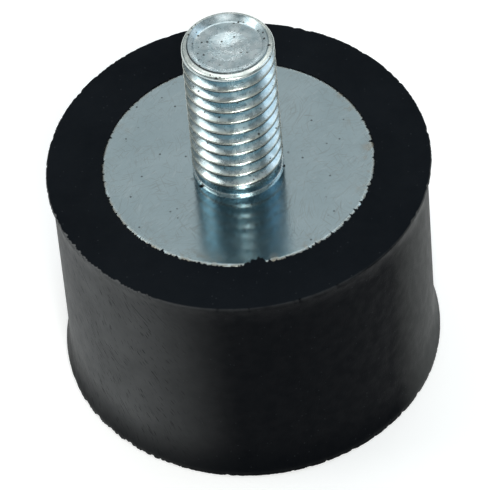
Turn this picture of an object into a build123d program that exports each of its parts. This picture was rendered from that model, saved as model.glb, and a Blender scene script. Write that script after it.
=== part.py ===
"""Bobbin vibration mount: a waisted rubber body with a zinc-plated steel disc bonded into each end.

The upper disc carries a threaded stud, the lower one a blind tapped bush. All sizes are in millimetres.
The origin is the centre of the lower end face, and +Z runs up the axis to the stud.
"""

import os
from math import asin, cos, radians, sin, tan

from build123d import *

# Rubber body
RIM_DIAMETER = 40.0
BODY_HEIGHT = 27.0
WAIST_INSET = 0.5  # how far the waist lies inside the rims
UPPER_LIP = 0.35  # straight height of the lip at the upper rim
UPPER_FLARE = 1.2  # height over which the waist opens out to the upper rim
LOWER_LIP = 0.9
LOWER_FLARE = 3.6
RIM_EDGE_RADIUS = 0.25

# End discs, which are alike apart from their holes
DISC_DIAMETER = 28.5
DISC_THICKNESS = 2.5
DISC_DIE_ROLL = 0.35  # rounding that blanking leaves on the show side

# Thread shared by the stud and the bush: 3/8 in, 16 threads per inch
THREAD_DIAMETER = 9.48
THREAD_PITCH = 25.4 / 16
THREAD_DEPTH = 0.6134 * THREAD_PITCH

# Stud
STUD_LENGTH = 17.8  # how far it stands out of the upper disc
STUD_COLLAR_HEIGHT = 0.7
STUD_RUNOUT = 0.45  # relief between the collar and the thread
STUD_SHOULDER_RADIUS = 0.3  # rounding that rolling leaves at the end
STUD_HEAD_STEP = 3.0  # how far the head stands out past the shank
STUD_HEAD_HEIGHT = 2.2
STUD_HEAD_ROUND = 0.6
DISH_DIAMETER = 5.4  # shallow cup that cold forming leaves in the end
DISH_DEPTH = 0.28

# Tapped bush
BUSH_WALL = 2.4
BUSH_SPIGOT_STEP = 1.0  # shoulder that bears on the inner side of the disc
BUSH_END_WALL = 1.4  # steel left above the point of the drilled hole
TAPPED_DEPTH = 9.5
DRILL_POINT_ANGLE = 118.0
MOUTH_CHAMFER = 0.9
BUSH_EDGE = 0.5

rim_radius = RIM_DIAMETER / 2
waist_radius = rim_radius - WAIST_INSET
disc_radius = DISC_DIAMETER / 2
thread_radius = THREAD_DIAMETER / 2
root_radius = thread_radius - THREAD_DEPTH
upper_disc_base = BODY_HEIGHT - DISC_THICKNESS
stud_end = BODY_HEIGHT + STUD_LENGTH
head_radius = thread_radius + STUD_HEAD_STEP
tap_radius = (THREAD_DIAMETER - THREAD_PITCH) / 2
bush_radius = tap_radius + BUSH_WALL
spigot_radius = bush_radius - BUSH_SPIGOT_STEP
drill_depth = TAPPED_DEPTH + tap_radius / tan(radians(DRILL_POINT_ANGLE / 2))
bush_length = drill_depth + BUSH_END_WALL


def turned(*edges):
    """A solid of revolution about Z from a closed outline in the XZ plane."""
    outline = make_face(Wire(edges))
    return revolve(outline, Axis.Z)


def lines(*points):
    """Straight edges that join (radius, height) points in turn."""
    spots = [Vector(r, 0, z) for r, z in points]
    return [Edge.make_line(a, b) for a, b in zip(spots, spots[1:])]


def ring_edges(solid, radius, height):
    """The circular edges of a turned solid at a radius and a height."""
    return [
        edge
        for edge in solid.edges().filter_by(GeomType.CIRCLE)
        if abs(edge.radius - radius) < 1e-4 and abs(edge.arc_center.Z - height) < 1e-4
    ]


def flare(lip_height, waist_height):
    """The arc from a rim in to the waist, which it meets without a corner."""
    run = abs(lip_height - waist_height)
    radius = (run**2 + WAIST_INSET**2) / (2 * WAIST_INSET)
    half_turn = asin(run / radius) / 2
    toward_lip = 1 if lip_height > waist_height else -1
    middle_radius = waist_radius + radius * (1 - cos(half_turn))
    middle_height = waist_height + toward_lip * radius * sin(half_turn)
    return Edge.make_three_point_arc(
        Vector(rim_radius, 0, lip_height),
        Vector(middle_radius, 0, middle_height),
        Vector(waist_radius, 0, waist_height),
    )


def moulded_outline():
    """The bobbin: a straight waist that flares to a lipped rim, shortly above and more widely below."""
    lower_waist = LOWER_LIP + LOWER_FLARE
    upper_lip = BODY_HEIGHT - UPPER_LIP
    upper_waist = upper_lip - UPPER_FLARE
    return [
        *lines((0, 0), (rim_radius, 0), (rim_radius, LOWER_LIP)),
        flare(LOWER_LIP, lower_waist),
        *lines((waist_radius, lower_waist), (waist_radius, upper_waist)),
        flare(upper_lip, upper_waist),
        *lines((rim_radius, upper_lip), (rim_radius, BODY_HEIGHT), (0, BODY_HEIGHT), (0, 0)),
    ]


def steel_disc(hole_radius):
    """A blanked disc lying on Z = 0, with the die roll round its upper edge."""
    disc = Cylinder(disc_radius, DISC_THICKNESS, align=(Align.CENTER, Align.CENTER, Align.MIN))
    disc = fillet(ring_edges(disc, disc_radius, DISC_THICKNESS), DISC_DIE_ROLL)
    return disc - Cylinder(hole_radius, 3 * DISC_THICKNESS)


def upper_disc():
    """The disc round the stud, flush with the top of the rubber."""
    return Pos(0, 0, upper_disc_base) * steel_disc(thread_radius)


def lower_disc():
    """The disc round the bush, turned over so that its show side is the underside."""
    return Pos(0, 0, DISC_THICKNESS) * Rot(180, 0, 0) * steel_disc(spigot_radius)


def stud():
    """A headed stud whose head bears on the inner side of the upper disc.

    The threaded length is plain here, at the thread's outside diameter.
    """
    head_base = upper_disc_base - STUD_HEAD_HEIGHT
    collar_top = BODY_HEIGHT + STUD_COLLAR_HEIGHT
    thread_start = collar_top + STUD_RUNOUT
    shoulder = stud_end - STUD_SHOULDER_RADIUS
    end_radius = thread_radius - STUD_SHOULDER_RADIUS
    dish_radius = DISH_DIAMETER / 2
    outline = lines(
        (0, head_base),
        (head_radius, head_base),
        (head_radius, upper_disc_base),
        (thread_radius, upper_disc_base),
        (thread_radius, collar_top),
        (root_radius, collar_top),
        (root_radius, thread_start),
        (thread_radius, thread_start + THREAD_DEPTH),
        (thread_radius, shoulder),
    )
    halfway = STUD_SHOULDER_RADIUS * sin(radians(45))
    rounding = Edge.make_three_point_arc(
        Vector(thread_radius, 0, shoulder),
        Vector(end_radius + halfway, 0, shoulder + halfway),
        Vector(end_radius, 0, stud_end),
    )
    rim = lines((end_radius, stud_end), (dish_radius, stud_end))
    dish_sphere = (dish_radius**2 + DISH_DEPTH**2) / (2 * DISH_DEPTH)
    half_angle = asin(dish_radius / dish_sphere) / 2
    dish = Edge.make_three_point_arc(
        Vector(dish_radius, 0, stud_end),
        Vector(
            dish_sphere * sin(half_angle),
            0,
            stud_end - DISH_DEPTH + dish_sphere * (1 - cos(half_angle)),
        ),
        Vector(0, 0, stud_end - DISH_DEPTH),
    )
    closing = lines((0, stud_end - DISH_DEPTH), (0, head_base))
    body = turned(*outline, rounding, *rim, dish, *closing)
    return fillet(ring_edges(body, head_radius, head_base), STUD_HEAD_ROUND)


def bush_blank():
    """The bush before drilling: a body that bears on the lower disc, with a spigot through it."""
    outline = lines(
        (0, bush_length),
        (bush_radius, bush_length),
        (bush_radius, DISC_THICKNESS),
        (spigot_radius, DISC_THICKNESS),
        (spigot_radius, 0),
        (0, 0),
        (0, bush_length),
    )
    return chamfer(ring_edges(turned(*outline), bush_radius, bush_length), BUSH_EDGE)


def tapped_hole():
    """The blind hole, plain at the thread's inside diameter, with a drill point and a bevelled mouth."""
    outline = lines(
        (0, 0),
        (tap_radius + MOUTH_CHAMFER, 0),
        (tap_radius, MOUTH_CHAMFER),
        (tap_radius, TAPPED_DEPTH),
        (0, drill_depth),
        (0, 0),
    )
    return turned(*outline)


def threaded_bush():
    """A blind bush, tapped from below."""
    return bush_blank() - tapped_hole()


def rubber_body():
    """The moulding, in which the steel pieces leave their own shape."""
    body = turned(*moulded_outline())
    rims = ring_edges(body, rim_radius, 0) + ring_edges(body, rim_radius, BODY_HEIGHT)
    body = fillet(rims, RIM_EDGE_RADIUS)
    pocket = Cylinder(disc_radius, DISC_THICKNESS, align=(Align.CENTER, Align.CENTER, Align.MIN))
    return body - pocket - Pos(0, 0, upper_disc_base) * pocket - stud() - bush_blank()


def main():
    pieces = {
        "rubber_body": rubber_body(),
        "upper_disc": upper_disc(),
        "stud": stud(),
        "lower_disc": lower_disc(),
        "threaded_bush": threaded_bush(),
    }
    os.makedirs("parts", exist_ok=True)
    for name, piece in pieces.items():
        export_step(piece, f"parts/{name}.step")


main()
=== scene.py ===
from math import cos, pi, radians, sin

import bpy
import numpy as np
from mathutils import Matrix, Vector


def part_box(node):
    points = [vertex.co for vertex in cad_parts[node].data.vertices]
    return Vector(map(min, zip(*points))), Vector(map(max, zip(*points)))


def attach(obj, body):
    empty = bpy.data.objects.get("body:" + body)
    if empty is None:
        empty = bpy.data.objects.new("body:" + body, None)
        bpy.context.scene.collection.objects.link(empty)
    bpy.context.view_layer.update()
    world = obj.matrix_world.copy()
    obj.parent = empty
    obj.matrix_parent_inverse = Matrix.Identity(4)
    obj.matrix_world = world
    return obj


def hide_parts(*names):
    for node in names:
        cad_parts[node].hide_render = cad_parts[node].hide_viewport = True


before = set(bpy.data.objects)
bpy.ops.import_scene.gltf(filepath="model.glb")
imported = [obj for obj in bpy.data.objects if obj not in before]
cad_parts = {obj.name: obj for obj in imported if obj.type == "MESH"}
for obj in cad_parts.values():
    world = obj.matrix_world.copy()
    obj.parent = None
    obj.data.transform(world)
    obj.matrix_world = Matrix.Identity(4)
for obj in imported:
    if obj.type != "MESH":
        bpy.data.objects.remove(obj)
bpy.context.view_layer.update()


# ---- Rubber body ---------------------------------------------------------------------------------
# One moulding of soft black rubber, vulcanised round the steel pieces in a split mould. It holds the
# discs flush in its ends, and a ragged film of flash creeps over the edge of each disc.

MM = 0.001
SAME_PLACE = 1e-9
SHARP_ANGLE = radians(38)

RUBBER_COLUMNS = 880
RUBBER_WAIST_INSET = 0.5 * MM
UPPER_FLARE = 3.35 * MM
UPPER_STRIP = 0.35 * MM
LOWER_FLARE = 3.6 * MM
LOWER_LIP = 0.9 * MM
RUBBER_EDGE_ROUND = 0.25 * MM
DIE_ROLL = 0.35 * MM

FILM_WIDTH = 0.09 * MM
FILM_RAGGEDNESS = 0.17 * MM
FILM_TONGUE = 0.46 * MM
FILM_BARE = 0.10 * MM
FILM_FADE = 0.5 * MM
FILM_LIFT = 0.02 * MM
FILM_LIFTED_FROM = 0.4 * MM
CLUMP_WIDTH = 0.62 * MM
CLUMP_RAGGEDNESS = 0.36 * MM
CLUMP_ANGLE = -pi / 2 + 0.045
CLUMP_HALF_ANGLE = 0.115

RIM_RAGGEDNESS = 0.022 * MM
NICK_DEPTH = 0.16 * MM
NICK_HEIGHT = 0.45 * MM
NICK_REACH = 0.5 * MM
TORN_DEPTH = 0.03 * MM
ROUGH_ANGLE = -2.45
ROUGH_HALF_ANGLE = 0.42
ROUGH_NICK_DEPTH = 0.34 * MM
ROUGH_TORN_DEPTH = 0.13 * MM
WAIST_WAVE = 0.012 * MM

BLOOM_DARK = (0.0040, 0.0056, 0.0077, 1)
BLOOM_PALE = (0.0056, 0.0075, 0.0099, 1)
# Painted shade: the side is a shade blacker than the end faces.
SHADED_FLANK_BLACK = (0.0020, 0.0028, 0.0040, 1)
# Grey on the left of the side: dust, and painted light from the left.
LEFT_DUST_AND_LIGHT = (0.150, 0.154, 0.158, 1)
# Painted glow along the right edge of the side, with a little dust.
RIGHT_GLOW_AND_DUST = (0.11, 0.112, 0.11, 1)
SCUFF_GREY = (0.085, 0.086, 0.088, 1)
CUT_BLACK = (0.0030, 0.0036, 0.0044, 1)
SPECK_GREY = (0.10, 0.11, 0.12, 1)
# Wear on the upper rim, partly a painted highlight along the edge.
WORN_AND_HIGHLIGHT_GREY = (0.085, 0.088, 0.092, 1)

rubber_low, rubber_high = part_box("rubber_body")
upper_low, upper_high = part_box("upper_disc")
lower_low, lower_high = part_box("lower_disc")
stud_low, stud_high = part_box("stud")
bush_low, bush_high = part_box("threaded_bush")
rim_radius = rubber_high.x
body_top = rubber_high.z
body_base = rubber_low.z
disc_radius = upper_high.x
head_radius = stud_high.x
bush_radius = bush_high.x


def wavelets(angle, seed, count, lowest, highest):
    """A closed ragged line round a circle, about -1 to 1: a sum of cosines of whole-number
    frequency, each with a random phase and a height of (lowest / frequency) to the power 0.6."""
    rng = np.random.default_rng(seed)
    frequency = rng.integers(lowest, highest, count)
    phase = rng.uniform(0, 2 * pi, count)
    height = (lowest / frequency) ** 0.6
    waves = np.cos(np.outer(angle, frequency) + phase) * height
    return waves.sum(1) / np.sqrt((height**2).sum() / 2) / 2.2


def bell(angle, middle, width, power=2):
    """exp(-(turn from the middle / width) ** power), with the turn taken the short way round."""
    away = np.angle(np.exp(1j * (angle - middle)))
    return np.exp(-((away / width) ** power))


def bites(angle, seed, count, width, depth):
    """Notches round a circle: the deepest of many bell shapes at random angles, each with its own
    width and depth."""
    rng = np.random.default_rng(seed)
    middle = rng.uniform(-pi, pi, count)
    widths = rng.uniform(0.4, 1.6, count) * width
    depths = rng.uniform(0.05, 1.0, count) ** 2 * depth
    return (depths * bell(angle[:, None], middle, widths)).max(1)


def skin(name, grid, ring_section=False, marks=None):
    """A smooth mesh over a grid of points whose columns close round the axis. The rows of a ring
    section close on themselves; otherwise the first and last row are single points on the axis. Each
    mark is a named grid of numbers that a material can read at the same places."""
    rows, columns = grid.shape[:2]
    index = np.arange(rows * columns).reshape(rows, columns)
    if ring_section:
        index = np.vstack([index, index[:1]])
        points = grid.reshape(-1, 3)
        caps = []
    else:
        points = np.vstack([grid[0, :1], grid[1:-1].reshape(-1, 3), grid[-1, :1]])
        index = index[1:-1] - columns + 1
        first = index[0]
        last = index[-1]
        end = len(points) - 1
        top_fan = np.stack([np.zeros(columns, int), first, np.roll(first, -1)], 1)
        bottom_fan = np.stack([np.full(columns, end), np.roll(last, -1), last], 1)
        caps = top_fan.tolist() + bottom_fan.tolist()
    near = index[:-1]
    far = index[1:]
    quads = np.stack([near, far, np.roll(far, -1, 1), np.roll(near, -1, 1)], -1).reshape(-1, 4)
    mesh = bpy.data.meshes.new(name)
    mesh.from_pydata(points.tolist(), [], quads.tolist() + caps)
    mesh.shade_smooth()
    mesh.set_sharp_from_angle(angle=SHARP_ANGLE)
    for label, values in (marks or {}).items():
        if not ring_section:
            values = np.concatenate([values[0, :1], values[1:-1].ravel(), values[-1, :1]])
        mark = mesh.attributes.new(label, "FLOAT", "POINT")
        mark.data.foreach_set("value", values.ravel().astype(np.float32))
    piece = bpy.data.objects.new(name, mesh)
    bpy.context.scene.collection.objects.link(piece)
    return piece


def runs(corners, counts):
    """Points of straight runs from corner to corner, evenly spaced, so many on each run, without the
    last corner."""
    points = []
    for start, end, count in zip(corners, corners[1:], counts):
        share = np.arange(count)[:, None] / count
        points.append(np.array(start) + share * (np.array(end) - np.array(start)))
    return np.vstack(points)


def bend(centre, radius, start, end, count):
    """Points of an arc between two angles in degrees, without its last one."""
    turn = np.radians(start + (end - start) * np.arange(count) / count)
    return np.stack([centre[0] + radius * np.cos(turn), centre[1] + radius * np.sin(turn)], 1)


def around(outline, columns):
    """Grids of the radius and the height of an outline's points, the same in every column."""
    return np.repeat(outline[:, :1], columns, 1), np.repeat(outline[:, 1:], columns, 1)


def placed(radius, angle, height):
    """Points at a radius and an angle round the axis, and a height along it."""
    return np.stack([radius * np.cos(angle), radius * np.sin(angle), height], -1)


def lower_flare_inset(from_base):
    """How far the side lies inside the rim at a height over the base: nothing along the lip, then a
    circular arc that meets the straight waist without a corner."""
    arc = (LOWER_FLARE**2 + RUBBER_WAIST_INSET**2) / (2 * RUBBER_WAIST_INSET)
    short_of_waist = np.clip(LOWER_LIP + LOWER_FLARE - from_base, 0, LOWER_FLARE)
    sag = arc - np.sqrt(arc**2 - short_of_waist**2)
    return np.where(from_base < LOWER_LIP, 0.0, RUBBER_WAIST_INSET - sag)


def rubber_outline():
    """Radius and height from the axis under the stud's head, up and out over the top face, down the
    flared side, in under the lower face and up round the bush to the axis. The upper flare is the
    inset times (2 - drop) times drop, where drop goes from 0 at the rim to 1 at the waist."""
    edge = RUBBER_EDGE_ROUND
    levels = (
        body_top - edge,
        body_top - UPPER_STRIP,
        body_top - UPPER_FLARE,
        body_base + LOWER_LIP + LOWER_FLARE,
        body_base + LOWER_LIP,
        body_base + edge,
    )
    rows = (3, 10, 13, 12, 6)
    stretches = zip(levels, levels[1:], rows)
    heights = np.concatenate([np.linspace(a, b, n, endpoint=False) for a, b, n in stretches])
    drop = np.clip((body_top - edge - heights) / (UPPER_FLARE - edge), 0, 1)
    upper_inset = RUBBER_WAIST_INSET * drop * (2 - drop)
    inset = np.minimum(upper_inset, lower_flare_inset(heights - body_base))
    over_the_top = runs(
        [
            (0, stud_low.z),
            (head_radius, stud_low.z),
            (head_radius, upper_low.z),
            (disc_radius, upper_low.z),
            (disc_radius, body_top - DIE_ROLL),
            (disc_radius, body_top),
            (rim_radius - edge, body_top),
        ],
        (3, 2, 3, 3, 4, 9),
    )
    under_the_base = runs(
        [
            (rim_radius - edge, body_base),
            (disc_radius, body_base),
            (disc_radius, body_base + DIE_ROLL),
            (disc_radius, lower_high.z),
            (bush_radius, lower_high.z),
            (bush_radius, bush_high.z),
            (0, bush_high.z),
        ],
        (8, 4, 3, 3, 4, 3),
    )
    return np.vstack(
        [
            over_the_top,
            bend((rim_radius - edge, body_top - edge), edge, 90, 0, 5),
            np.stack([rim_radius - inset, heights], 1),
            bend((rim_radius - edge, body_base + edge), edge, 0, -90, 5),
            under_the_base,
            np.array([(0, bush_high.z)]),
        ]
    )


def flash_width(angle, seed):
    """How far the film of rubber reaches in over the disc's edge at each angle: a fine ragged line,
    with torn tongues, bare places where the film has come away, and one torn clump."""
    ragged = FILM_WIDTH + FILM_RAGGEDNESS * wavelets(angle, seed, 200, 80, 430)
    tongues = bites(angle, seed + 30, 150, 0.0085, FILM_TONGUE)
    bare = bites(angle, seed + 40, 9, 0.12, FILM_BARE)
    clump = np.exp(-(((angle - CLUMP_ANGLE) / CLUMP_HALF_ANGLE) ** 4))
    clump = clump * (CLUMP_WIDTH + CLUMP_RAGGEDNESS * wavelets(angle, seed + 50, 60, 40, 220))
    return np.clip(ragged + tongues - bare, 0.0, None) + np.clip(clump, 0.0, None)


def with_flash(angle, radius, height):
    """The film at both ends. A point of an end face moves in by the film's width times
    exp(-distance from the disc's edge / FILM_FADE), and a point round the disc's soft edge by the
    width times the square of the way up to the face. The upper film also stands a little proud."""
    on_faces = radius < rim_radius - RUBBER_EDGE_ROUND * 1.01
    over_disc = np.exp(-np.abs(radius - disc_radius) / FILM_FADE) * (radius < rim_radius - 1 * MM)
    for end, seed, lift in ((body_top, 3, FILM_LIFT), (body_base, 4, 0.0)):
        film = flash_width(angle, seed)
        from_end = np.abs(height - end)
        on_face = (from_end < SAME_PLACE) & on_faces
        radius = np.where(on_face, radius - film * over_disc, radius)
        round_edge = (from_end > SAME_PLACE) & (from_end < DIE_ROLL + SAME_PLACE)
        round_edge = round_edge & (radius <= disc_radius + SAME_PLACE)
        radius = np.where(round_edge, radius - film * (1 - from_end / DIE_ROLL) ** 2, radius)
        proud = lift * np.clip(film / FILM_LIFTED_FROM, 0, 1) * over_disc
        height = np.where(on_face, height + proud, height)
    return radius, height


def with_nicks(angle, radius, height):
    """Ragged rims: the radius less wavelets, notches and a random depth in each column, which fade
    away from the rim with a bell shape in height and in radius. One quarter is rougher. The waist
    swells and shrinks by a slow wave."""
    outside = radius > disc_radius + 2.5 * MM
    rough = bell(angle, ROUGH_ANGLE, ROUGH_HALF_ANGLE, 4)
    for end, seed in ((body_top, 11), (body_base, 12)):
        ragged = RIM_RAGGEDNESS * (1 + wavelets(angle, seed, 90, 40, 310))
        nicks = bites(angle, seed + 20, 120, 0.010, NICK_DEPTH)
        nicks = nicks + rough * bites(angle, seed + 25, 260, 0.009, ROUGH_NICK_DEPTH)
        torn = np.random.default_rng(seed + 60).uniform(0, 1, RUBBER_COLUMNS) ** 2
        nicks = nicks + torn * (TORN_DEPTH + ROUGH_TORN_DEPTH * rough)
        near = np.exp(-((np.abs(height - end) / NICK_HEIGHT) ** 2))
        near = near * np.exp(-((np.clip(rim_radius - radius, 0, None) / NICK_REACH) ** 2))
        radius = np.where(outside, radius - (ragged + nicks) * near, radius)
    waist = np.clip((rim_radius - radius) / RUBBER_WAIST_INSET, 0, 1) * outside
    return radius + WAIST_WAVE * waist * (wavelets(angle, 15, 30, 3, 40) - 1)


def rubber_grid():
    """The moulding as a function of a place along its outline and an angle round the axis, with its
    flash and its nicks."""
    angle = -pi / 2 + 2 * pi * np.arange(RUBBER_COLUMNS) / RUBBER_COLUMNS
    radius, height = around(rubber_outline(), RUBBER_COLUMNS)
    radius, height = with_flash(angle, radius, height)
    radius = with_nicks(angle, radius, height)
    radius[0] = 0
    radius[-1] = 0
    return placed(radius, angle, height)


class Shader:
    """A material whose nodes are added one at a time and fed by name."""

    def __init__(self, name):
        self.material = bpy.data.materials.new(name)
        self.material.use_nodes = True
        self.tree = self.material.node_tree
        self.surface = self.tree.nodes["Principled BSDF"]
        coordinates = self.tree.nodes.new("ShaderNodeTexCoord")
        self.place = coordinates.outputs["Object"]

    def feed(self, socket, value):
        """Link a socket to another node's output, or set it to a constant."""
        if isinstance(value, bpy.types.NodeSocket):
            self.tree.links.new(value, socket)
        else:
            socket.default_value = value

    def stretch(self, scale, turn=(0, 0, 0), shift=(0, 0, 0), vector=None):
        """Coordinates turned by degrees, shifted, and then scaled along each axis."""
        first = self.tree.nodes.new("ShaderNodeMapping")
        first.inputs["Rotation"].default_value = [radians(a) for a in turn]
        first.inputs["Location"].default_value = shift
        self.feed(first.inputs["Vector"], vector or self.place)
        second = self.tree.nodes.new("ShaderNodeMapping")
        second.inputs["Scale"].default_value = scale
        self.feed(second.inputs["Vector"], first.outputs["Vector"])
        return second.outputs["Vector"]

    def noise(self, scale, detail=4.0, rough=0.55, distortion=0.0, vector=None):
        """Cloudy noise from 0 to 1."""
        made = self.tree.nodes.new("ShaderNodeTexNoise")
        made.inputs["Scale"].default_value = scale
        made.inputs["Detail"].default_value = detail
        made.inputs["Roughness"].default_value = rough
        made.inputs["Distortion"].default_value = distortion
        self.feed(made.inputs["Vector"], vector or self.place)
        return made.outputs["Fac"]

    def cells(self, scale, vector=None):
        """Distance to the nearest of many scattered points, and two random numbers of that point."""
        made = self.tree.nodes.new("ShaderNodeTexVoronoi")
        made.inputs["Scale"].default_value = scale
        self.feed(made.inputs["Vector"], vector or self.place)
        drawn = self.tree.nodes.new("ShaderNodeSeparateColor")
        self.feed(drawn.inputs["Color"], made.outputs["Color"])
        return made.outputs["Distance"], drawn.outputs["Red"], drawn.outputs["Green"]

    def band(self, value, low, high, to_low=0.0, to_high=1.0):
        """A value carried smoothly from one range to another and held at its ends."""
        made = self.tree.nodes.new("ShaderNodeMapRange")
        made.interpolation_type = "SMOOTHSTEP"
        self.feed(made.inputs["Value"], value)
        made.inputs["From Min"].default_value = low
        made.inputs["From Max"].default_value = high
        made.inputs["To Min"].default_value = to_low
        made.inputs["To Max"].default_value = to_high
        return made.outputs["Result"]

    def maths(self, operation, a, b=0.0):
        """One operation of a Math node on two outputs or numbers."""
        made = self.tree.nodes.new("ShaderNodeMath")
        made.operation = operation
        self.feed(made.inputs[0], a)
        self.feed(made.inputs[1], b)
        return made.outputs["Value"]

    def product(self, first, *others):
        """Outputs or numbers multiplied together."""
        for other in others:
            first = self.maths("MULTIPLY", first, other)
        return first

    def most(self, first, *others):
        """The largest of several outputs."""
        for other in others:
            first = self.maths("MAXIMUM", first, other)
        return first

    def blend(self, share, under, over):
        """One colour or output laid over another by a share from 0 to 1."""
        made = self.tree.nodes.new("ShaderNodeMix")
        made.data_type = "RGBA"
        self.feed(made.inputs[0], share)
        self.feed(made.inputs[6], under)
        self.feed(made.inputs[7], over)
        return made.outputs[2]

    def axes(self):
        """The x, y and z of Object coordinates."""
        made = self.tree.nodes.new("ShaderNodeSeparateXYZ")
        self.feed(made.inputs["Vector"], self.place)
        return made.outputs["X"], made.outputs["Y"], made.outputs["Z"]

    def reach(self):
        """Distance from the Z axis."""
        x, y, _ = self.axes()
        return self.maths("SQRT", self.maths("ADD", self.product(x, x), self.product(y, y)))

    def unrolled(self):
        """The side laid flat: the angle round the axis times the rim's radius, and the height."""
        x, y, z = self.axes()
        made = self.tree.nodes.new("ShaderNodeCombineXYZ")
        self.feed(made.inputs["X"], self.product(self.maths("ARCTAN2", y, x), rim_radius))
        self.feed(made.inputs["Y"], z)
        return made.outputs["Vector"]

    def drift(self, vector, scale, amount):
        """Coordinates pushed about by cloudy noise, so that straight strokes bend."""
        cloud = self.tree.nodes.new("ShaderNodeTexNoise")
        cloud.inputs["Scale"].default_value = scale
        cloud.inputs["Detail"].default_value = 1.0
        self.feed(cloud.inputs["Vector"], vector)
        push = self.tree.nodes.new("ShaderNodeVectorMath")
        push.operation = "MULTIPLY_ADD"
        self.feed(push.inputs[0], cloud.outputs["Color"])
        push.inputs[1].default_value = (amount, amount, amount)
        self.feed(push.inputs[2], vector)
        return push.outputs["Vector"]

    def specks(self, scale, size, chance, vector=None):
        """Spots on some of many scattered points: each fades out between the two distances in size,
        and shows where the point's random number is past the range in chance."""
        distance, drawn, _ = self.cells(scale, vector)
        spot = self.band(distance, size[0], size[1], 1.0, 0.0)
        return self.product(spot, self.band(drawn, chance[0], chance[1]))

    def dashes(self, vector, size, kept):
        """Short strokes along the stretched axis: specks on about a share kept of the points."""
        return self.specks(1.0, (size * 0.5, size), (1.0 - kept, 1.0 - kept * 0.8), vector)

    def relief(self, height, strength, distance, under=None):
        """A bump, in metres of height, over an earlier one."""
        made = self.tree.nodes.new("ShaderNodeBump")
        made.inputs["Strength"].default_value = strength
        made.inputs["Distance"].default_value = distance
        self.feed(made.inputs["Height"], height)
        if under is not None:
            self.feed(made.inputs["Normal"], under)
        return made.outputs["Normal"]

    def mark(self, label):
        """A named number stored on the piece's own mesh."""
        made = self.tree.nodes.new("ShaderNodeAttribute")
        made.attribute_name = label
        return made.outputs["Fac"]

    def set(self, **values):
        """Feed the surface's own sockets, named with _ for a space."""
        for name, value in values.items():
            self.feed(self.surface.inputs[name.replace("_", " ")], value)


def side_strokes(made, x):
    """Fine cuts that slant down the left of the side, short, finer and long ones, gently bent."""
    side = made.drift(made.unrolled(), 110.0, 3 * MM)
    short_vector = made.stretch((6200.0, 700.0, 1.0), (0, 0, -34), vector=side)
    finer_vector = made.stretch((9000.0, 900.0, 1.0), (0, 0, -30), (20 * MM, 0, 0), side)
    long_vector = made.stretch((5200.0, 130.0, 1.0), (0, 0, -38), (30 * MM, 0, 0), side)
    short = made.dashes(short_vector, 0.36, 0.24)
    finer = made.product(made.dashes(finer_vector, 0.40, 0.30), 0.55)
    long = made.dashes(long_vector, 0.26, 0.07)
    return made.product(made.most(short, finer, long), made.band(x, -4 * MM, -12 * MM))


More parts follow.
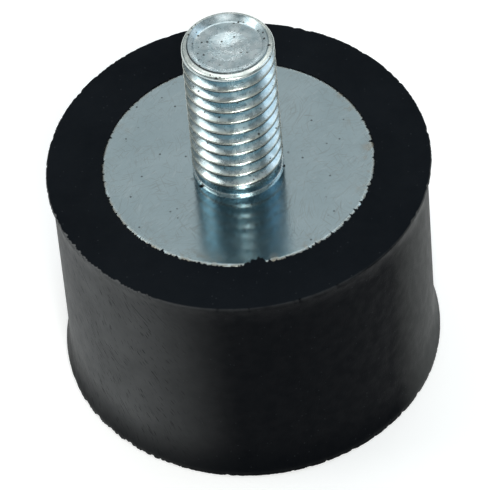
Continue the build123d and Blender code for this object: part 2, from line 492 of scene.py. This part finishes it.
def moulded_rubber():
    """Matt black rubber with a cloudy bloom and fine pitting. Its side is blacker, as painted shade,
    with grey dust that is also painted light at the left, a painted glow with some dust at the right
    edge, pale scuffs at the left and right, black cuts at the left, pale specks and a worn upper rim
    that is partly a painted highlight."""
    made = Shader("moulded_rubber")
    x, _, z = made.axes()
    reach = made.reach()
    below_rim = made.band(z, body_top - 0.04 * MM, body_top - 0.12 * MM)
    near_rim = made.band(reach, rim_radius - 1.1 * MM, rim_radius - 0.9 * MM)
    on_side = made.product(near_rim, below_rim)

    bloom = made.noise(140.0, 5.0, 0.6)
    black = made.blend(made.band(bloom, 0.3, 0.7), BLOOM_DARK, BLOOM_PALE)
    # Painted shade: the whole side is made blacker than the end faces.
    colour = made.blend(on_side, black, SHADED_FLANK_BLACK)

    # Grey dust over the left of the side, which also stands in as painted light from the left, fading
    # towards the base.
    dusty_lit_left = made.product(made.band(x, -1.5 * MM, -18.5 * MM), on_side)
    above_base = made.band(z, 0.6 * MM, 6.5 * MM, 0.16, 1.0)
    clouded = made.band(made.noise(240.0, 4.0), 0.25, 0.75, 0.80, 1.0)
    colour = made.blend(made.product(dusty_lit_left, above_base, clouded), colour, LEFT_DUST_AND_LIGHT)
    # Painted glow along the right edge of the side, where light grazes it, with a little dust.
    glowing_right_edge = made.product(made.band(x, 14.0 * MM, 19.2 * MM), on_side)
    colour = made.blend(made.product(glowing_right_edge, 0.8), colour, RIGHT_GLOW_AND_DUST)

    upright_vector = made.stretch((9000.0, 9000.0, 420.0))
    upright = made.band(made.noise(1.0, 3.0, 0.6, vector=upright_vector), 0.60, 0.74)
    slant_vector = made.stretch((5200.0, 5200.0, 330.0), (48, 0, 0))
    slant = made.band(made.noise(1.0, 3.0, 0.6, vector=slant_vector), 0.60, 0.74)
    patches = made.band(made.noise(300.0, 4.0), 0.42, 0.62)
    left_scuffs = made.product(slant, made.band(x, -6 * MM, -17 * MM), patches)
    right_scuffs = made.product(upright, made.band(x, 8 * MM, 18 * MM), patches)
    scuffs = made.product(made.most(left_scuffs, right_scuffs), on_side)
    colour = made.blend(made.product(scuffs, 0.20), colour, SCUFF_GREY)
    cuts = made.product(side_strokes(made, x), on_side)
    colour = made.blend(made.product(cuts, 0.84), colour, CUT_BLACK)

    speck = made.specks(2600.0, (0.12, 0.26), (0.90, 0.95))
    colour = made.blend(made.product(speck, 0.16), colour, SPECK_GREY)
    # Paler upper rim: wear, and partly a painted highlight along the rounded edge.
    rim = made.band(reach, rim_radius - 0.22 * MM, rim_radius - 0.06 * MM)
    upper_edge = made.band(z, body_top - 0.42 * MM, body_top - 0.10 * MM)
    worn_and_highlight = made.product(rim, upper_edge, made.band(bloom, 0.35, 0.6))
    colour = made.blend(made.product(worn_and_highlight, 0.28), colour, WORN_AND_HIGHLIGHT_GREY)

    grain = made.relief(made.noise(5200.0, 3.0, 0.6), 0.35, 0.03 * MM)
    scored = made.relief(scuffs, 0.35, 0.02 * MM, grain)
    pitted = made.relief(made.noise(1500.0, 4.0, 0.6), 0.35, 0.06 * MM, scored)
    roughness = made.band(made.noise(900.0, 4.0), 0.3, 0.7, 0.50, 0.66)
    made.set(Base_Color=colour, Roughness=roughness, Normal=pitted)
    made.set(Specular_IOR_Level=0.03, Sheen_Weight=0.070, Sheen_Roughness=0.30)
    return made.material


rubber = skin("rubber", rubber_grid())
rubber.data.materials.append(moulded_rubber())
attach(rubber, "root")
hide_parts("rubber_body")


# ---- Upper and lower discs -----------------------------------------------------------------------
# Two blanked mild-steel discs, zinc plated, with the soft edge that blanking leaves on the show side.
# The rubber is bonded to their inner faces and edges. The plate is scratched, and stained at the edge.

DISC_COLUMNS = 384
DISC_DIPS = 14
SPIGOT_RADIUS = 5.346 * MM
THREAD_RADIUS = 4.74 * MM

DISC_ZINC_DEEP = (0.465, 0.575, 0.605, 1)
DISC_ZINC_PALE = (0.52, 0.63, 0.66, 1)
DISC_MOTTLE = (0.42, 0.50, 0.53, 1)
SCRATCH_GREY = (0.33, 0.35, 0.33, 1)
SCRATCH_BRIGHT = (0.80, 0.84, 0.86, 1)
STAIN_BROWN = (0.30, 0.25, 0.18, 1)
RIM_DIRT_BROWN = (0.16, 0.13, 0.09, 1)
DISC_SPECK_BLACK = (0.05, 0.05, 0.05, 1)
CRUMB_BLACK = (0.012, 0.012, 0.012, 1)


def disc_grid(hole_radius, inner_face, show_face, seed):
    """A pierced disc as a function of a place round its section and an angle: hole wall, show face,
    rounded edge, rim and inner face. The show face sinks by a few microns in shallow bell-shaped dips
    at random places. The rows of a downward disc are reversed, so that its faces point outwards."""
    angle = 2 * pi * np.arange(DISC_COLUMNS) / DISC_COLUMNS
    up = 1 if show_face > inner_face else -1
    turn = bend((disc_radius - DIE_ROLL, 0), DIE_ROLL, 90, 0, 7)
    edge = np.stack([turn[:, 0], show_face - up * (DIE_ROLL - turn[:, 1])], 1)
    hole_and_face = runs(
        [(hole_radius, inner_face), (hole_radius, show_face), (disc_radius - DIE_ROLL, show_face)],
        (4, 40),
    )
    rim_and_back = runs(
        [
            (disc_radius, show_face - up * DIE_ROLL),
            (disc_radius, inner_face),
            (hole_radius, inner_face),
        ],
        (4, 6),
    )
    radius, height = around(np.vstack([hole_and_face, edge, rim_and_back]), DISC_COLUMNS)
    showing = np.isclose(height, show_face, atol=SAME_PLACE)
    rng = np.random.default_rng(seed)
    dips = np.zeros_like(height)
    for _ in range(DISC_DIPS):
        middle = rng.uniform(-1, 1, 2) * disc_radius
        size = rng.uniform(2.0, 5.0) * MM
        depth = rng.uniform(0.001, 0.006) * MM
        gap_x = radius * np.cos(angle) - middle[0]
        gap_y = radius * np.sin(angle) - middle[1]
        dips += depth * np.exp(-(gap_x**2 + gap_y**2) / size**2)
    height = np.where(showing, height - up * dips, height)
    grid = placed(radius, angle, height)
    return grid if up > 0 else grid[::-1]


def scratched_zinc():
    """Blue-white zinc plate, satin and faintly mottled, with hair scratches in four directions that
    swirl, a few bright ones, dark specks, brown stains and dirt towards the edge, which is duller, and
    black crumbs of rubber round the hole."""
    made = Shader("scratched_zinc")
    reach = made.reach()
    cloud = made.noise(170.0, 5.0, 0.6)
    plate = made.blend(made.band(cloud, 0.3, 0.7), DISC_ZINC_DEEP, DISC_ZINC_PALE)
    mottle = made.band(made.noise(2300.0, 3.0, 0.6), 0.35, 0.65)
    plate = made.blend(made.product(mottle, 0.12), plate, DISC_MOTTLE)

    swirl = made.drift(made.place, 90.0, 10 * MM)
    strokes = []
    for turn, shift in ((28, 0.0), (52, 0.1), (-24, 0.2), (80, 0.3)):
        vector = made.stretch((8400.0, 560.0, 1.0), (0, 0, turn), (shift, 0, 0), swirl)
        strokes.append(made.dashes(vector, 0.46, 0.30))
    patches = made.band(made.noise(260.0, 3.0), 0.30, 0.62, 0.25, 1.0)
    scratches = made.product(made.most(*strokes), patches)
    plate = made.blend(made.product(scratches, 0.42), plate, SCRATCH_GREY)
    bright_vector = made.stretch((4800.0, 700.0, 1.0), (0, 0, 40), (0.5, 0, 0), swirl)
    bright = made.dashes(bright_vector, 0.40, 0.30)
    plate = made.blend(made.product(bright, 0.16), plate, SCRATCH_BRIGHT)

    near_edge = made.band(reach, disc_radius - 2.6 * MM, disc_radius - 0.3 * MM)
    stain = made.product(near_edge, made.band(made.noise(430.0, 4.0, 0.65), 0.52, 0.68))
    plate = made.blend(made.product(stain, 0.58), plate, STAIN_BROWN)
    speck = made.specks(1500.0, (0.10, 0.22), (0.86, 0.93))
    plate = made.blend(made.product(speck, 0.85), plate, DISC_SPECK_BLACK)
    at_rim = made.band(reach, disc_radius - 0.55 * MM, disc_radius - 0.12 * MM)
    rim_dirt = made.product(at_rim, made.band(made.noise(900.0, 4.0, 0.7), 0.32, 0.52))
    plate = made.blend(made.product(rim_dirt, 0.75), plate, RIM_DIRT_BROWN)
    at_hole = made.band(reach, 5.5 * MM, 5.1 * MM)
    crumbs = made.product(made.specks(1300.0, (0.26, 0.36), (0.62, 0.70)), at_hole)
    plate = made.blend(crumbs, plate, CRUMB_BLACK)

    satin = made.band(made.noise(700.0, 4.0, 0.6), 0.3, 0.7, 0.11, 0.15)
    dull_edge = made.band(reach, disc_radius - 0.60 * MM, disc_radius - 0.20 * MM, 0.0, 0.26)
    roughness = made.maths("ADD", made.maths("ADD", satin, made.product(stain, 0.15)), dull_edge)
    fine = made.relief(made.noise(3800.0, 3.0, 0.6), 0.22, 0.012 * MM)
    scored = made.relief(scratches, 0.30, -0.004 * MM, fine)
    made.set(Base_Color=plate, Roughness=roughness, Normal=scored, Metallic=1.0)
    return made.material


disc_zinc = scratched_zinc()
upper_plate = skin("upper_plate", disc_grid(THREAD_RADIUS, upper_low.z, upper_high.z, 5), True)
lower_plate = skin("lower_plate", disc_grid(SPIGOT_RADIUS, lower_high.z, lower_low.z, 6), True)
for plate, node in ((upper_plate, "upper_disc"), (lower_plate, "lower_disc")):
    plate.data.materials.append(disc_zinc)
    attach(plate, "root")
    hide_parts(node)


# ---- Threaded stud -------------------------------------------------------------------------------
# A cold-headed steel stud with a rolled 3/8-16 thread, zinc plated bright. Its head lies under the
# disc, a plain collar comes through it, and rolling leaves a lip round the dished end.

STUD_COLUMNS = 204
THREADED_ROWS = 400
THREAD_PITCH = 25.4 / 16 * MM
THREAD_DEPTH = 0.6134 * THREAD_PITCH
CREST_FLAT = 0.147
FLANK_RUN = 0.354
CREST_HEIGHT_AT_FRONT = 9.45 * MM
FRONT = radians(-100)
FOLD_PLACE = -0.020
FOLD_WIDTH = 0.064
CREAM_PLACE = 0.085
CREAM_WIDTH = 0.050

COLLAR_HEIGHT = 0.32 * MM
COLLAR_ROUND = 0.08 * MM
RUNOUT = 0.28 * MM
RUNOUT_SLOPE = 2.6
HEAD_ROUND = 0.6 * MM
SHOULDER_RADIUS = 0.30 * MM
SHOULDER_END = 20
FILLED_LENGTH = 0.40 * MM
BAND_DROP = 0.10 * MM
SEAM_RADIUS = 4.08 * MM
SEAM_STEP = 0.05 * MM
SEAM_LINE = 0.07 * MM
SEAM_OFFSET = 0.16 * MM
SEAM_OFFSET_REACH = 0.45 * MM
SEAM_OFFSET_FADE = 0.4 * MM
CREAM_BAND_START = 0.08 * MM
CREAM_BAND_FADE = 0.10 * MM
FACE_RADIUS = 3.48 * MM
FACE_DEPTH = 0.22 * MM
FACE_TILT = 0.55 * FACE_DEPTH
DISH_RADIUS = 2.55 * MM
DISH_DEPTH = 0.38 * MM

STUD_ZINC_DEEP = (0.395, 0.50, 0.53, 1)
STUD_ZINC_PALE = (0.55, 0.64, 0.66, 1)
SMEAR_BRIGHT = (0.84, 0.87, 0.86, 1)
# Painted shade and reflection of the dark rubber in the roots of the thread.
ROOT_SHADE_CYAN = (0.25, 0.46, 0.51, 1)
# Painted shade on the thread's downward flanks.
UNDERSIDE_SHADE_BLUE = (0.13, 0.24, 0.31, 1)
# Painted highlight along the crests; the end's band takes the same cream.
CREST_HIGHLIGHT_CREAM = (0.72, 0.69, 0.54, 1)
# Painted shade in the crease under each crest, and a dark line round the end's lip.
CREASE_SHADE_AND_SEAM_BROWN = (0.020, 0.015, 0.010, 1)
STUD_SPECK_BLACK = (0.025, 0.022, 0.018, 1)

stud_top = stud_high.z
collar_top = body_top + COLLAR_HEIGHT
root_radius = THREAD_RADIUS - THREAD_DEPTH
band_end = THREAD_RADIUS - SHOULDER_RADIUS


def rolled_ridge(turns):
    """Height of a rolled thread over its root, 0 to 1, at a number of turns along the axis: straight
    60-degree flanks between a narrow crest and a wider root, both rounded off by a moving average
    under a raised cosine."""
    place = np.linspace(-0.5, 0.5, 401)
    slope = np.clip((CREST_FLAT / 2 + FLANK_RUN - np.abs(place)) / FLANK_RUN, 0, 1)
    window = np.hanning(33)
    ridge = np.convolve(np.tile(slope[:-1], 3), window / window.sum(), "same")[400:800]
    return np.interp((turns + 0.5) % 1 - 0.5, place[:-1], ridge, period=1)


def stud_end_outline():
    """Radius and height from the axis out to where the thread starts: a dish of half a cosine wave, a
    flat face, a lip that rises to the seam with the power 0.8, a groove at the seam, a band that
    falls away a little, and the start of the rounded shoulder."""
    dish = np.linspace(0, DISH_RADIUS, 13, endpoint=False)
    dish_height = stud_top - FACE_DEPTH - DISH_DEPTH * (1 + np.cos(pi * dish / DISH_RADIUS)) / 2
    lip = np.linspace(FACE_RADIUS, SEAM_RADIUS, 11, endpoint=False)
    rise = ((lip - FACE_RADIUS) / (SEAM_RADIUS - FACE_RADIUS)) ** 0.8
    face = [(DISH_RADIUS, stud_top - FACE_DEPTH), (FACE_RADIUS, stud_top - FACE_DEPTH)]
    groove = [
        (SEAM_RADIUS, stud_top),
        (SEAM_RADIUS + SEAM_STEP, stud_top - BAND_DROP * 0.9),
        (SEAM_RADIUS + SEAM_STEP * 2, stud_top - BAND_DROP * 0.6),
    ]
    band = [(SEAM_RADIUS + SEAM_STEP * 3, stud_top - BAND_DROP * 0.5), (band_end, stud_top - BAND_DROP)]
    shoulder_centre = (band_end, stud_top - BAND_DROP - SHOULDER_RADIUS)
    return np.vstack(
        [
            np.stack([dish, dish_height], 1),
            runs(face, (4,)),
            np.stack([lip, stud_top - FACE_DEPTH * (1 - rise)], 1),
            np.array(groove),
            runs(band, (4,)),
            bend(shoulder_centre, SHOULDER_RADIUS, 90, SHOULDER_END, 7),
        ]
    )


def stud_foot_outline():
    """Radius and height from under the thread down to the axis: the run-out, the collar with its
    rounded top edge, and the head with its rounded lower edge."""
    runout_and_step = runs(
        [
            (root_radius, collar_top + RUNOUT * 0.7),
            (root_radius, collar_top),
            (THREAD_RADIUS - COLLAR_ROUND, collar_top),
        ],
        (3, 4),
    )
    collar_and_head = runs(
        [
            (THREAD_RADIUS, collar_top - COLLAR_ROUND),
            (THREAD_RADIUS, upper_low.z),
            (head_radius, upper_low.z),
            (head_radius, stud_low.z + HEAD_ROUND),
        ],
        (8, 3, 3),
    )
    collar_edge = (THREAD_RADIUS - COLLAR_ROUND, collar_top - COLLAR_ROUND)
    head_edge = (head_radius - HEAD_ROUND, stud_low.z + HEAD_ROUND)
    return np.vstack(
        [
            runout_and_step,
            bend(collar_edge, COLLAR_ROUND, 90, 0, 3),
            collar_and_head,
            bend(head_edge, HEAD_ROUND, 0, -90, 5),
            runs([(head_radius - HEAD_ROUND, stud_low.z), (0, stud_low.z)], (3,)),
            np.array([(0, stud_low.z)]),
        ]
    )


def thread_marks(turns, left):
    """Where each part of the thread lies, from the fraction of a turn off the crest, times the share
    of the ridge that is left: bell shapes for the painted shade of the crease under the crest and the
    painted highlight above it, and ramps for the painted shade in the root and on the lower flank."""
    phase = (turns + 0.5) % 1 - 0.5
    # Painted shade on the downward flank below each crest.
    underside_shade = np.clip((-0.075 - phase) / 0.05, 0, 1) * np.clip((phase + 0.46) / 0.04, 0, 1)
    return {
        # Painted shade along the crease just under each crest.
        "crease_shade_and_seam": np.exp(-(((phase - FOLD_PLACE) / FOLD_WIDTH) ** 2)) * left,
        # Painted highlight along the upper rounding of each crest.
        "crest": np.exp(-(((phase - CREAM_PLACE) / CREAM_WIDTH) ** 2)) * left,
        # Painted shade and reflection, deepest in the root.
        "root_shade": np.clip((0.62 - rolled_ridge(turns)) / 0.45, 0, 1) * left,
        "underside_shade": underside_shade * left,
    }


def stud_grid():
    """The stud as a function of a place down its outline and an angle, and its marks. In the threaded
    length the radius is the root's plus the ridge at (height / pitch - angle / turn), which winds
    right-handed, and never more than the rounded shoulder at the end or the run-out at the collar
    allows. The ridge fills in to the full radius under the shoulder. At the end the face tilts with
    the sine of the angle, and the lip and seam lie off the axis."""
    angle = 2 * pi * np.arange(STUD_COLUMNS) / STUD_COLUMNS
    above = stud_end_outline()
    below = stud_foot_outline()
    shoulder_low = stud_top - BAND_DROP - SHOULDER_RADIUS * (1 - sin(radians(SHOULDER_END)))
    threaded = np.linspace(shoulder_low, collar_top + RUNOUT, THREADED_ROWS)
    turns = (threaded[:, None] - body_top - CREST_HEIGHT_AT_FRONT) / THREAD_PITCH
    turns = turns - (angle - FRONT) / (2 * pi)
    left = np.clip((stud_top - SHOULDER_RADIUS - threaded) / FILLED_LENGTH, 0, 1)[:, None]
    ridge = THREAD_RADIUS - THREAD_DEPTH * (1 - rolled_ridge(turns)) * left
    into_shoulder = np.clip(threaded - stud_top + BAND_DROP + SHOULDER_RADIUS, 0, SHOULDER_RADIUS)
    shoulder = band_end + np.sqrt(SHOULDER_RADIUS**2 - into_shoulder**2)
    runout = root_radius + (threaded - collar_top - RUNOUT) * RUNOUT_SLOPE
    threaded_radius = np.minimum(ridge, np.minimum(shoulder, runout)[:, None])

    above_radius, above_height = around(above, STUD_COLUMNS)
    below_radius, below_height = around(below, STUD_COLUMNS)
    threaded_height = np.repeat(threaded[:, None], STUD_COLUMNS, 1)
    radius = np.vstack([above_radius, threaded_radius, below_radius])
    height = np.vstack([above_height, threaded_height, below_height])

    at_end = (np.arange(len(radius)) < len(above))[:, None]
    padding = ((len(above), len(below)), (0, 0))
    marks = {label: np.pad(part, padding) for label, part in thread_marks(turns, left).items()}
    # A dark brown line round the lip, darkest at the left front, shares the mark of the painted shade
    # under the crests.
    seam = np.exp(-(((radius - SEAM_RADIUS - SEAM_STEP) / SEAM_LINE) ** 2)) * at_end
    seam = seam * (0.30 + 0.70 * np.clip(-np.cos(angle - 0.6), 0, 1))
    # The end's band takes the cream of the crests' painted highlight, at a lower share.
    band = np.clip((radius - SEAM_RADIUS - CREAM_BAND_START) / CREAM_BAND_FADE, 0, 1) * at_end
    marks["crease_shade_and_seam"] = np.maximum(marks["crease_shade_and_seam"], seam)
    marks["crest"] = np.maximum(marks["crest"], band * 0.6)

    within_seam = np.clip((SEAM_RADIUS - radius) / (SEAM_RADIUS - FACE_RADIUS), 0, 1) * at_end
    tilt = FACE_TILT * within_seam * np.minimum(radius / FACE_RADIUS, 1)
    height = height - tilt * np.sin(angle)
    aside = SEAM_OFFSET * np.exp(-(((radius - SEAM_RADIUS) / SEAM_OFFSET_REACH) ** 2)) * at_end
    aside = aside * np.clip((THREAD_RADIUS - radius) / SEAM_OFFSET_FADE, 0, 1)
    return placed(radius, angle, height) + aside[:, :, None] * (0, 1, 0), marks


def rolled_zinc():
    """Bright blue-white zinc plate, cloudy, and smeared brighter in patches by rolling. The roots carry
    a cyan painted shade and reflection, the lower flanks a deeper blue painted shade, and the crests a
    cream painted highlight, with dark brown painted shade in the crease under each crest. The end's band
    is cream and a brown line runs round the lip. Black specks, more of them on the end, whose dish is
    peened."""
    made = Shader("rolled_zinc")
    reach = made.reach()
    _, _, z = made.axes()
    cloud = made.noise(420.0, 4.0, 0.6)
    plate = made.blend(made.band(cloud, 0.3, 0.7), STUD_ZINC_DEEP, STUD_ZINC_PALE)
    smear_vector = made.stretch((900.0, 900.0, 2600.0))
    smear = made.band(made.noise(1.0, 4.0, 0.6, 0.5, smear_vector), 0.42, 0.62)
    plate = made.blend(made.product(smear, 0.30), plate, SMEAR_BRIGHT)
    # Painted shade and reflection in the roots of the thread.
    plate = made.blend(made.product(made.mark("root_shade"), 0.52), plate, ROOT_SHADE_CYAN)
    # Painted shade on the downward flanks.
    plate = made.blend(made.product(made.mark("underside_shade"), 0.80), plate, UNDERSIDE_SHADE_BLUE)
    # Painted highlight on the crests, and cream on the end's band.
    plate = made.blend(made.product(made.mark("crest"), 0.50), plate, CREST_HIGHLIGHT_CREAM)
    # Painted shade in the crease under each crest, broken up by noise, and the brown line round the lip.
    broken = made.band(made.noise(1100.0, 3.0), 0.34, 0.54, 0.78, 1.0)
    plate = made.blend(made.product(made.mark("crease_shade_and_seam"), broken), plate, CREASE_SHADE_AND_SEAM_BROWN)

    distance, drawn, drawn_size = made.cells(2100.0)
    near_end = made.band(z, stud_top - 0.9 * MM, stud_top - 0.7 * MM)
    chance = made.maths("ADD", drawn, made.product(near_end, 0.30))
    size = made.band(drawn_size, 0.0, 1.0, 0.10, 0.30)
    spot = made.band(made.maths("SUBTRACT", size, distance), 0.0, 0.06)
    speck = made.product(spot, made.band(chance, 0.78, 0.84))
    plate = made.blend(made.product(speck, 0.90), plate, STUD_SPECK_BLACK)

    roughness = made.band(made.noise(1100.0, 4.0, 0.6), 0.3, 0.7, 0.18, 0.34)
    fine = made.relief(made.noise(3200.0, 3.0, 0.6), 0.30, 0.018 * MM)
    in_dish = made.product(made.band(reach, 2.0 * MM, 2.5 * MM, 1.0, 0.0), near_end)
    peened = made.product(made.noise(5200.0, 2.0, 0.6), in_dish)
    dimpled = made.relief(peened, 1.0, 0.034 * MM, fine)
    made.set(Base_Color=plate, Roughness=roughness, Normal=dimpled, Metallic=1.0)
    return made.material


thread_zinc = rolled_zinc()
stud_points, stud_marks = stud_grid()
threaded_stud = skin("threaded_stud", stud_points, marks=stud_marks)
threaded_stud.data.materials.append(thread_zinc)
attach(threaded_stud, "root")
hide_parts("stud")


# ---- Tapped bush ---------------------------------------------------------------------------------
# A turned steel bush with a blind hole tapped 3/8-16 from below, zinc plated. A shoulder bears on the
# lower disc, its spigot comes through flush, and the rubber grips the rest.

BUSH_COLUMNS = 160
TAPPED_ROWS = 190
TAPPED_DEPTH = 9.5 * MM
LAST_TURNS = 1.2
MOUTH_BEVEL = 0.9 * MM
MOUTH_START = 0.05 * MM
BUSH_BEVEL = 0.5 * MM
JOIN_STEP = 0.02 * MM
TAP_RADIUS = THREAD_RADIUS - THREAD_PITCH / 2
DRILL_POINT = TAP_RADIUS / np.tan(radians(59))


def bush_grid():
    """The bush as a function of a place along its section and an angle: down the outside from the
    closed end, across the mouth, and up the hole. The hole's wall carries the ridge of the thread,
    cut into it by up to half a pitch and shallower over the last turns, and a drill's cone closes it."""
    angle = 2 * pi * np.arange(BUSH_COLUMNS) / BUSH_COLUMNS
    mouth = TAP_RADIUS + MOUTH_BEVEL
    tapped_end = bush_low.z + TAPPED_DEPTH
    outside = runs(
        [
            (0, bush_high.z),
            (bush_radius - BUSH_BEVEL, bush_high.z),
            (bush_radius, bush_high.z - BUSH_BEVEL),
            (bush_radius, lower_high.z),
            (SPIGOT_RADIUS, lower_high.z),
            (SPIGOT_RADIUS, bush_low.z),
            (mouth, bush_low.z),
            (mouth - JOIN_STEP, bush_low.z + JOIN_STEP),
        ],
        (3, 2, 5, 2, 3, 2, 1),
    )
    cone_tip = (0, tapped_end + DRILL_POINT)
    cone = np.vstack([runs([(TAP_RADIUS, tapped_end + JOIN_STEP), cone_tip], (6,)), cone_tip])
    tapped = np.linspace(bush_low.z + MOUTH_START, tapped_end, TAPPED_ROWS)
    turns = tapped[:, None] / THREAD_PITCH - angle / (2 * pi)
    cut = np.clip((tapped_end - tapped) / (LAST_TURNS * THREAD_PITCH), 0, 1)[:, None]
    wall = TAP_RADIUS + (THREAD_RADIUS - TAP_RADIUS) * rolled_ridge(turns) * cut
    bevel = mouth - (tapped - bush_low.z)
    outside_radius, outside_height = around(outside, BUSH_COLUMNS)
    cone_radius, cone_height = around(cone, BUSH_COLUMNS)
    tapped_height = np.repeat(tapped[:, None], BUSH_COLUMNS, 1)
    radius = np.vstack([outside_radius, np.maximum(wall, bevel[:, None]), cone_radius])
    height = np.vstack([outside_height, tapped_height, cone_height])
    return placed(radius, angle, height)


tapped_bush = skin("tapped_bush", bush_grid())
tapped_bush.data.materials.append(thread_zinc)
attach(tapped_bush, "root")
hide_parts("threaded_bush")


# ---- Floor and light -----------------------------------------------------------------------------
# A white floor in a pale grey room, under seven soft boxes: a strong small one in front, one high at
# each side, a broad one and a low strip behind, a strip over the back and a small one overhead. Each
# has its name, place, size in metres, power in watts and colour, and faces the middle of the mount.

FLOOR_SIZE = 3.0
FLOOR_GREY = (0.30, 0.30, 0.30, 1)
FLOOR_WHITE = (0.85, 0.85, 0.85, 1)
FLOOR_GLOW = 0.34
ROOM_LEVEL = 0.23
ROOM_COLOR = (0.84, 0.96, 1.0, 1)
SOFT_BOXES = (
    ("left_box", (-0.62, 0.08, 0.785), (0.42, 0.42), 1.62, (1.0, 1.0, 0.98)),
    ("right_box", (0.68, 0.20, 0.70), (0.50, 0.50), 1.15, (0.72, 0.86, 1.0)),
    ("back_box", (0.0, 0.75, 0.74), (1.30, 0.80), 1.04, (1.0, 1.0, 1.0)),
    ("top_box", (0.04, -0.08, 0.98), (0.26, 0.40), 0.40, (1.0, 1.0, 1.0)),
    ("crown_box", (-0.08, 0.33, 0.90), (1.00, 0.30), 1.6, (1.0, 1.0, 1.0)),
    ("lip_box", (0.06, 0.906, 0.42), (0.80, 0.10), 0.50, (1.0, 1.0, 1.0)),
    ("front_box", (0.07, -0.68, 0.74), (0.30, 0.30), 5.6, (1.0, 1.0, 0.96)),
)


def white_floor():
    """Matt grey to the light it passes on, and a glowing white to the camera and to shiny pieces, so
    that it reads as white and keeps the soft shadow."""
    made = bpy.data.materials.new("white_floor")
    made.use_nodes = True
    nodes = made.node_tree.nodes
    links = made.node_tree.links
    nodes.clear()
    output = nodes.new("ShaderNodeOutputMaterial")
    seen = nodes.new("ShaderNodeMixShader")
    matt = nodes.new("ShaderNodeBsdfDiffuse")
    matt.inputs["Color"].default_value = FLOOR_GREY
    lifted = nodes.new("ShaderNodeAddShader")
    pale = nodes.new("ShaderNodeBsdfDiffuse")
    pale.inputs["Color"].default_value = FLOOR_WHITE
    glow = nodes.new("ShaderNodeEmission")
    glow.inputs["Strength"].default_value = FLOOR_GLOW
    path = nodes.new("ShaderNodeLightPath")
    either = nodes.new("ShaderNodeMath")
    either.operation = "MAXIMUM"
    links.new(path.outputs["Is Camera Ray"], either.inputs[0])
    links.new(path.outputs["Is Glossy Ray"], either.inputs[1])
    links.new(pale.outputs["BSDF"], lifted.inputs[0])
    links.new(glow.outputs["Emission"], lifted.inputs[1])
    links.new(either.outputs["Value"], seen.inputs["Fac"])
    links.new(matt.outputs["BSDF"], seen.inputs[1])
    links.new(lifted.outputs["Shader"], seen.inputs[2])
    links.new(seen.outputs["Shader"], output.inputs["Surface"])
    return made


half = FLOOR_SIZE / 2
floor_corners = [(-half, -half, 0), (half, -half, 0), (half, half, 0), (-half, half, 0)]
floor_mesh = bpy.data.meshes.new("floor")
floor_mesh.from_pydata(floor_corners, [], [(0, 1, 2, 3)])
floor_mesh.materials.append(white_floor())
floor = bpy.data.objects.new("floor", floor_mesh)
bpy.context.scene.collection.objects.link(floor)

world = bpy.data.worlds.new("room")
bpy.context.scene.world = world
world.use_nodes = True
room = world.node_tree.nodes["Background"]
room.inputs["Color"].default_value = ROOM_COLOR
room.inputs["Strength"].default_value = ROOM_LEVEL

middle_of_mount = Vector((0, 0, body_top / 2))
for name, spot, size, power, tint in SOFT_BOXES:
    lamp = bpy.data.lights.new(name, "AREA")
    lamp.color = tint
    lamp.shape = "RECTANGLE"
    lamp.size = size[0]
    lamp.size_y = size[1]
    lamp.energy = power
    box = bpy.data.objects.new(name, lamp)
    box.location = spot
    box.rotation_euler = (middle_of_mount - Vector(spot)).to_track_quat("-Z", "Y").to_euler()
    bpy.context.scene.collection.objects.link(box)


# ---- Camera --------------------------------------------------------------------------------------
# A long lens from a little over half a metre, looking down at the front of the mount and turned a few
# degrees about its own axis.

LENS = 390.1
SENSOR_WIDTH = 36.0
CLIP_START = 0.01
CAMERA_DISTANCE = 0.5486
CAMERA_ELEVATION = radians(47.82)
CAMERA_ROLL = radians(-5.22)
AIM_ASIDE = -0.085 * MM
AIM_BELOW = -8.554 * MM

top_centre = Vector((0, 0, body_top))
back = Vector((0, -cos(CAMERA_ELEVATION), sin(CAMERA_ELEVATION)))
right = Vector((1, 0, 0))
above = back.cross(right)
eye = top_centre + back * CAMERA_DISTANCE
aim = top_centre + right * AIM_ASIDE + above * AIM_BELOW
view_back = (eye - aim).normalized()
level = above.cross(view_back).normalized()
upward = view_back.cross(level)
camera_x = level * cos(CAMERA_ROLL) + upward * sin(CAMERA_ROLL)
camera_y = upward * cos(CAMERA_ROLL) - level * sin(CAMERA_ROLL)
lens = bpy.data.cameras.new("camera")
lens.lens = LENS
lens.sensor_width = SENSOR_WIDTH
lens.clip_start = CLIP_START
camera = bpy.data.objects.new("camera", lens)
turned = Matrix((camera_x, camera_y, view_back)).transposed().to_4x4()
camera.matrix_world = Matrix.Translation(eye) @ turned
bpy.context.scene.collection.objects.link(camera)
bpy.context.scene.camera = camera
bpy.context.scene.view_settings.view_transform = "Standard"
